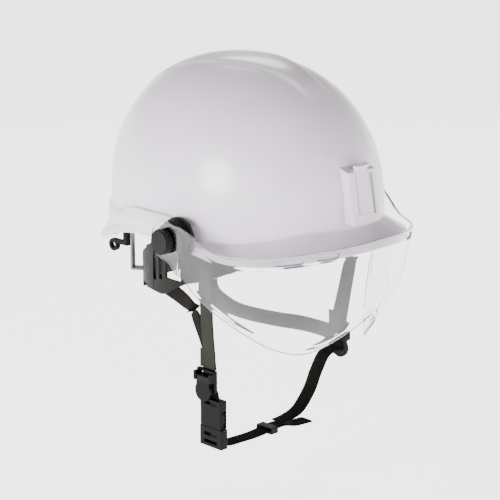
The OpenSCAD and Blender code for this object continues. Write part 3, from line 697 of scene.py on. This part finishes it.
def sweep(places, columns=16, power=5.0):
    """places: (centre, half across, half through) vectors, in mm."""
    def section(place):
        def at(angle):
            across, through = rounded(angle + HALF_COLUMN, power)
            return place[0] + place[1] * across + place[2] * through
        return at
    bm = ring_solid([section(p) for p in places], columns)
    row = bm.verts.layers.int["row"]
    uv = bm.loops.layers.uv.new("strap")
    lengths = [0.0]
    for p, q in zip(places, places[1:]):
        lengths.append(lengths[-1] + (q[0] - p[0]).length * MM)
    for face in bm.faces:
        for loop in face.loops:
            centre, across, _ = places[loop.vert[row]]
            offset = (loop.vert.co / MM - centre).dot(across) / across.length_squared
            loop[uv].uv = (lengths[loop.vert[row]], 0.5 + 0.5 * offset)
    return bm


def smooth_path(points):
    path = [Vector(catmull(points, i, k / STEPS)) for i in range(len(points) - 1) for k in range(STEPS)]
    return path + [Vector(points[-1])]


def ribbon(points, directions, width, thickness):
    """directions: the way that the strap's width faces at each point."""
    path, turn = smooth_path(points), smooth_path(directions)
    places = []
    for i, centre in enumerate(path):
        along = (path[min(i + 1, len(path) - 1)] - path[max(i - 1, 0)]).normalized()
        across = (turn[i] - along * turn[i].dot(along)).normalized()
        places.append((centre, across * width / 2, along.cross(across) * thickness / 2))
    return sweep(places)


def strap(name, points, directions, body, stands_for, material, width=STRAP_W, thickness=STRAP_T):
    return piece(ribbon(points, directions, width, thickness), name, body, material, stands_for,
                 limit=1.2)

# %% [markdown]
# ## The harness
# On each side a front strap hangs from the shell and a rear strap comes from the nape.
# They meet at a sewn patch above the adjuster. A flat strap keeps its width and bends only
# along its length, so each is swept through a few points with the direction that its
# width faces at each of them.

# %% Front and rear straps
ADJ_X, ADJ_Y, ADJ_Z = 82.0, -41.0, -150.0
BAND_W, BAND_L, BAND_T, BAND_Y, SINK = 84, 101, 2.4, -2, 0.1
NAPE_Y, NAPE_R = 29, 72.8
ANCHOR_X = (HALF_W - WALL) * math.sqrt(1 - ((-46 - MID_Y) / (HALF_L - WALL)) ** 2) - 6
front = [(-ANCHOR_X + 1.6, -46, -14), (-ANCHOR_X + 0.5, -47, -38), (-92, -49, -66), (-88, -46, -96),
         (-83, -43, -122), (-ADJ_X + 0.6, ADJ_Y, ADJ_Z + 15), (-ADJ_X + 0.7, ADJ_Y, ADJ_Z + 7)]
strap("front_strap_near", front, [(0, 1, 0)] * 7, "helmet", "front_strap_right", web)
strap("front_strap_far", [(-x, y, z) for x, y, z in front], [(0, 1, 0)] * 7, "helmet",
      "front_strap_left", web)


def beside_head(angle, z):
    """A place on the inner face of the headband's side."""
    return (*oval(angle, BAND_W, BAND_L, -BAND_T - STRAP_T / 2 + SINK, BAND_Y), z)


def behind_nape(angle, z):
    """A place round the nape; the angle is from straight back."""
    turned = math.radians(angle)
    return NAPE_R * math.sin(turned), NAPE_Y + NAPE_R * math.cos(turned), z


# The rear straps get the dark webbing as painted shade: they are the same grey webbing as the front straps.
strap("rear_strap_near", [beside_head(117, -69), beside_head(108, -71), beside_head(100, -73.5),
                          beside_head(93, -76), (-82.5, -10, -79), (-86.5, -25, -82.5), (-84, -34, -101),
                          (-79.4, -38, -121), (-ADJ_X + 2.4, ADJ_Y, ADJ_Z + 12)],
      [(0, 0, 1)] * 5 + [(0, 0.5, 0.8), (0, 1, 0.2), (0, 1, 0), (0, 1, 0)],
      "helmet", "rear_strap_right", web_dark_and_shaded)
strap("rear_strap_far", [behind_nape(33, -80), behind_nape(34, -100), (45, 88, -122), (55, 66, -136),
                         (70, 30, -139.5), (79, 0, -139), (ADJ_X - 2.5, -36, -138.5)],
      [(0.84, -0.54, 0)] * 2 + [(0.7, -0.5, 0.5), (0.2, 0, 1)] + [(0, 0, 1)] * 3,
      "helmet", "rear_strap_left", web_dark_and_shaded)

# %% Lower and chin straps
strap("lower_strap_web", [(-ADJ_X + 0.7, ADJ_Y, ADJ_Z + 2), (-ADJ_X + 0.9, ADJ_Y - 1, ADJ_Z - 5),
                          (-80.6, -44.4, -158), (-80, -45, -164)],
      [(0, 1, 0)] * 4, "helmet", "lower_strap", web_dark_and_shaded)
strap("chin_strap_web", [(-80, -45, -200), (-71, -46, -207), (-52, -47, -208), (-34, -47, -208.5),
                         (-14, -46, -208), (1, -46, -207.5), (16, -47, -211), (36, -48, -212)],
      [(0, 1, 0)] * 8, "chin", "chin_strap_near", web_dark_and_shaded)
strap("far_chin_strap_web", [(-1, -46, -204.5), (10, -46, -204), (27, -45, -200), (44, -43, -186),
                             (55, -41, -171), (67, -40, -157), (80.6, -41, -153), (81.3, -41, -147)],
      [(0, 1, 0)] * 8, "helmet", "chin_strap_far", web_dark_and_shaded)

# %% [markdown]
# ## Sewn patches
# A short patch of webbing covers the place where two straps meet, and thread holds it. A
# stitch is a tiny ball stretched along its sewn line, and each line has a row of them.

# %% Patches and thread
thread = moulded("thread", (0.03, 0.03, 0.026), (0.06, 0.06, 0.052), 0.7,
                 grain_size=3000, grain_depth=0.6, coat=0, shine=0.05)


PITCH, STITCH = 2.1, (0.756, 0.28, 0.26, 1)


def stitches(name, lines, out, body):
    """lines: pairs of ends in mm; out: the direction that the cloth faces."""
    bm = bmesh.new()
    for a, b in lines:
        a, b = Vector(a), Vector(b)
        count = max(1, round((b - a).length / PITCH))
        along = (b - a).normalized()
        turn = Matrix((along, along.cross(out), out)).transposed().to_4x4()
        for k in range(count):
            where = a + (b - a) * (k + 0.5) / count
            at = Matrix.Scale(MM, 4) @ Matrix.Translation(where) @ turn @ Matrix.Diagonal(STITCH)
            bmesh.ops.create_icosphere(bm, subdivisions=1, radius=1, matrix=at)
    return piece(bm, name, body, thread, (), limit=3)


patches = bmesh.new()
for side in (-1, 1):
    middle = Vector((side * 82.7, ADJ_Y, ADJ_Z + 23))
    made = sweep([(middle + Vector((0, 0, h)), Vector((0, 9.5, 0)), Vector((0.55, 0, 0)))
                  for h in (-8, -7.6, -4, 0, 4, 7.6, 8)], 24, 7)
    scrap = bpy.data.meshes.new("scrap")
    made.to_mesh(scrap)
    made.free()
    patches.from_mesh(scrap)
    bpy.data.meshes.remove(scrap)
    for face_x, out in ((side * 83.28, side), (side * 82.12, -side)):
        y0, y1, z0, z1 = ADJ_Y - 8, ADJ_Y + 8, ADJ_Z + 16.6, ADJ_Z + 29.4
        corners = [(face_x, y0, z0), (face_x, y1, z0), (face_x, y1, z1), (face_x, y0, z1)]
        stitches("patch_thread_%s_%s" % ("far" if side > 0 else "near", "out" if out == side else "in"),
                 list(zip(corners, corners[1:] + corners[:1])) + [(corners[0], corners[2]),
                                                                  (corners[1], corners[3])],
                 Vector((out, 0, 0)), "helmet")
piece(patches, "junction_patch_web", "helmet", web, "junction_patches", limit=1.2)
print("patches: 2")

# %% [markdown]
# ## Crown straps
# Three straps cross over the head and hold the shell clear of it. They are the same
# webbing, wider and thinner, each a little above the one before.

# %% Crown straps
for node, turn, top in (("crown_strap_long", 0, 92), ("crown_strap_right", 55, 93.5),
                        ("crown_strap_left", 125, 95)):
    ex, ey = oval(turn, HALF_W - WALL, HALF_L - WALL, -9)
    mx, my = oval(turn, HALF_W - WALL, HALF_L - WALL, -22)
    strap(node + "_web",
          [(ex, ey, 2), (mx * 0.98, my * 0.98, 34), (ex * 0.62, ey * 0.62, top - 20), (0, 0, top),
           (-ex * 0.62, MID_Y - ey * 0.62, top - 20), (-mx * 0.98, 2 * MID_Y - my * 0.98, 34),
           (-ex, 2 * MID_Y - ey, 2)],
          [(-ey, ex, 0)] * 7, "helmet", node, web_dark_and_shaded, width=18, thickness=1.2)

# %% [markdown]
# ## Pads
# The brow pad is foam under a knitted cover. It is fullest at mid height and thins towards
# its edges, and cross seams pull it in every 30 mm or so.
# The nape pad and the crown pad are cut foam with rounded edges.

# %% Brow pad
PAD_W, PAD_L, PAD_END, PAD_DEPTH, SEAM_EVERY = 81.3, 98.3, 68, 3.0, 22


def band_low(f):
    return -34 - 29 * ease((f - 30) / 55) - 18 * ease((f - 78) / 26) - 8 * ease((f - 108) / 50)


def band_high(f):
    return -8 - 20 * ease((f - 30) / 50) - 34 * ease((f - 80) / 90)


places = []
for angle in range(-PAD_END, PAD_END + 1):
    f = abs(angle)
    low, high = band_low(f) - 1.2, band_high(f) + 0.8
    seam = min(f % SEAM_EVERY, SEAM_EVERY - f % SEAM_EVERY)
    swell = 0.72 + 0.28 * ease(seam / 5)
    end = ease((PAD_END + 0.5 - f) / 4) * 0.6 + 0.4
    depth = PAD_DEPTH * swell * end
    x, y = oval(angle, PAD_W, PAD_L, -depth, BAND_Y)
    near, far = oval(angle, PAD_W, PAD_L, 0, BAND_Y), oval(angle, PAD_W, PAD_L, -1, BAND_Y)
    inward = Vector((far[0] - near[0], far[1] - near[1], 0)).normalized()
    tall = (high - low) / 2 * (0.94 + 0.06 * end)
    places.append((Vector((x, y, (low + high) / 2)), Vector((0, 0, tall)), inward * depth))
brow = piece(sweep(places, 24, 3.0), "brow_pad", "helmet", brow_knit, "sweatband", limit=1.4)

# %% Nape pad
CUSHION_R, CUSHION_END, CUSHION_TALL, CUSHION_DEEP, SPANS = 62.9, 21.6, 12.8, 2.0, 44
low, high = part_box("nape_pad")
middle = Vector((0, NAPE_Y, (low[2] + high[2]) / 2 / MM))
places = []
for i in range(SPANS + 1):
    turned = math.radians(-CUSHION_END + i * 2 * CUSHION_END / SPANS)
    out = Vector((math.sin(turned), math.cos(turned), 0))
    end = 0.55 + 0.45 * ease((CUSHION_END + 0.2 - abs(math.degrees(turned))) / 2.5)
    rib = 1 - 0.16 * (i % 11 == 0)
    places.append((middle + out * CUSHION_R, Vector((0, 0, CUSHION_TALL * end)),
                   out * CUSHION_DEEP * end * rib))
nape = piece(sweep(places, 24, 3.2), "nape_cushion", "helmet", black_foam, "nape_pad",
             limit=1.4)

# %% Crown pad
low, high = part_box("crown_pad")
z0, z1 = low[2] / MM, high[2] / MM
profile = [(2, z1 - 0.9), (10, z1 - 0.5), (20, z1 - 0.1), (26, z1 - 0.5), (27.2, z1 - 1.2), (28.4, z1 - 0.8),
           (29.6, z1 - 1.6), (30, (z0 + z1) / 2), (29.6, z0 + 1.6), (28.4, z0 + 0.8), (27.2, z0 + 1.2),
           (26, z0 + 0.5), (20, z0 + 0.1), (10, z0 + 0.5), (2, z0 + 0.9)]
cushion = piece(ring_solid([lambda a, r=r, z=z: (-r * math.sin(math.radians(a)),
                                                 MID_Y - r * math.cos(math.radians(a)), z)
                            for r, z in profile], 72),
                "crown_cushion", "helmet", black_foam, "crown_pad", limit=1.4)
subdivide(cushion)
print("pads: 3")

# %% [markdown]
# ## Studio
# A white floor runs far enough back to meet the bright surroundings. The surroundings are
# brightest near the horizon and dimmer overhead, so the dome's crown reads darker than its
# sides. Three soft lamps add the long highlights.

# %% Floor, surroundings and lamps
FLOOR_Z, FLOOR_R, FLOOR_GLOW, SKY_GLOW = -0.26, 40, 2.9, 4.0
bm = bmesh.new()
bmesh.ops.create_circle(bm, segments=96, radius=FLOOR_R, cap_ends=True)
bmesh.ops.translate(bm, vec=(0, 0, FLOOR_Z), verts=bm.verts)
floor_mesh = bpy.data.meshes.new("floor")
bm.to_mesh(floor_mesh)
bm.free()
floor = add("floor", floor_mesh)
white = Finish("white floor")
white.shader.inputs["Emission Color"].default_value = (1, 1, 1, 1)
white.shader.inputs["Emission Strength"].default_value = FLOOR_GLOW
tone = white.mix(white.noise(3, 2), (0.90, 0.90, 0.90), (0.92, 0.92, 0.92))
floor_mesh.materials.append(white.set(colour=tone, roughness=0.9, specular=0.1))
world = bpy.data.worlds.new("surroundings")
bpy.context.scene.world = world
world.use_nodes = True
sky = world.node_tree
look = sky.nodes.new("ShaderNodeTexCoord")
parts = sky.nodes.new("ShaderNodeSeparateXYZ")
sky.links.new(look.outputs["Generated"], parts.inputs[0])
ramp = sky.nodes.new("ShaderNodeValToRGB")
stops = [(0.03, (1.0, 1.0, 1.0)), (0.14, (0.36, 0.345, 0.36)), (0.4, (0.10, 0.092, 0.098)),
         (1.0, (0.055, 0.05, 0.054))]
while len(ramp.color_ramp.elements) < len(stops):
    ramp.color_ramp.elements.new(0.5)
for element, (height, tone) in zip(ramp.color_ramp.elements, stops):
    element.position, element.color = height, (*tone, 1)
sky.links.new(parts.outputs[2], ramp.inputs[0])
sky.links.new(ramp.outputs[0], sky.nodes["Background"].inputs[0])
sky.nodes["Background"].inputs[1].default_value = SKY_GLOW


def lamp(name, where, power, size):
    """A round lamp that faces the helmet."""
    made = add(name, bpy.data.lights.new(name, "AREA"))
    made.data.energy, made.data.shape, made.data.size = power, "DISK", size
    made.location = where
    made.rotation_mode = "QUATERNION"
    made.rotation_quaternion = (Vector((0, 0, -0.04)) - Vector(where)).to_track_quat("-Z", "Y")


lamp("key", (-1.6, 0.1, 0.30), 34, 0.6)
lamp("fill", (0.7, -1.6, 0.3), 8, 0.7)
lamp("rim", (0.9, 0.9, 1.0), 9, 0.6)
print("lamps: 3")

# %% [markdown]
# ## Finish
# The last cell brings the scene up to date.

# %% Finish
bpy.context.view_layer.update()
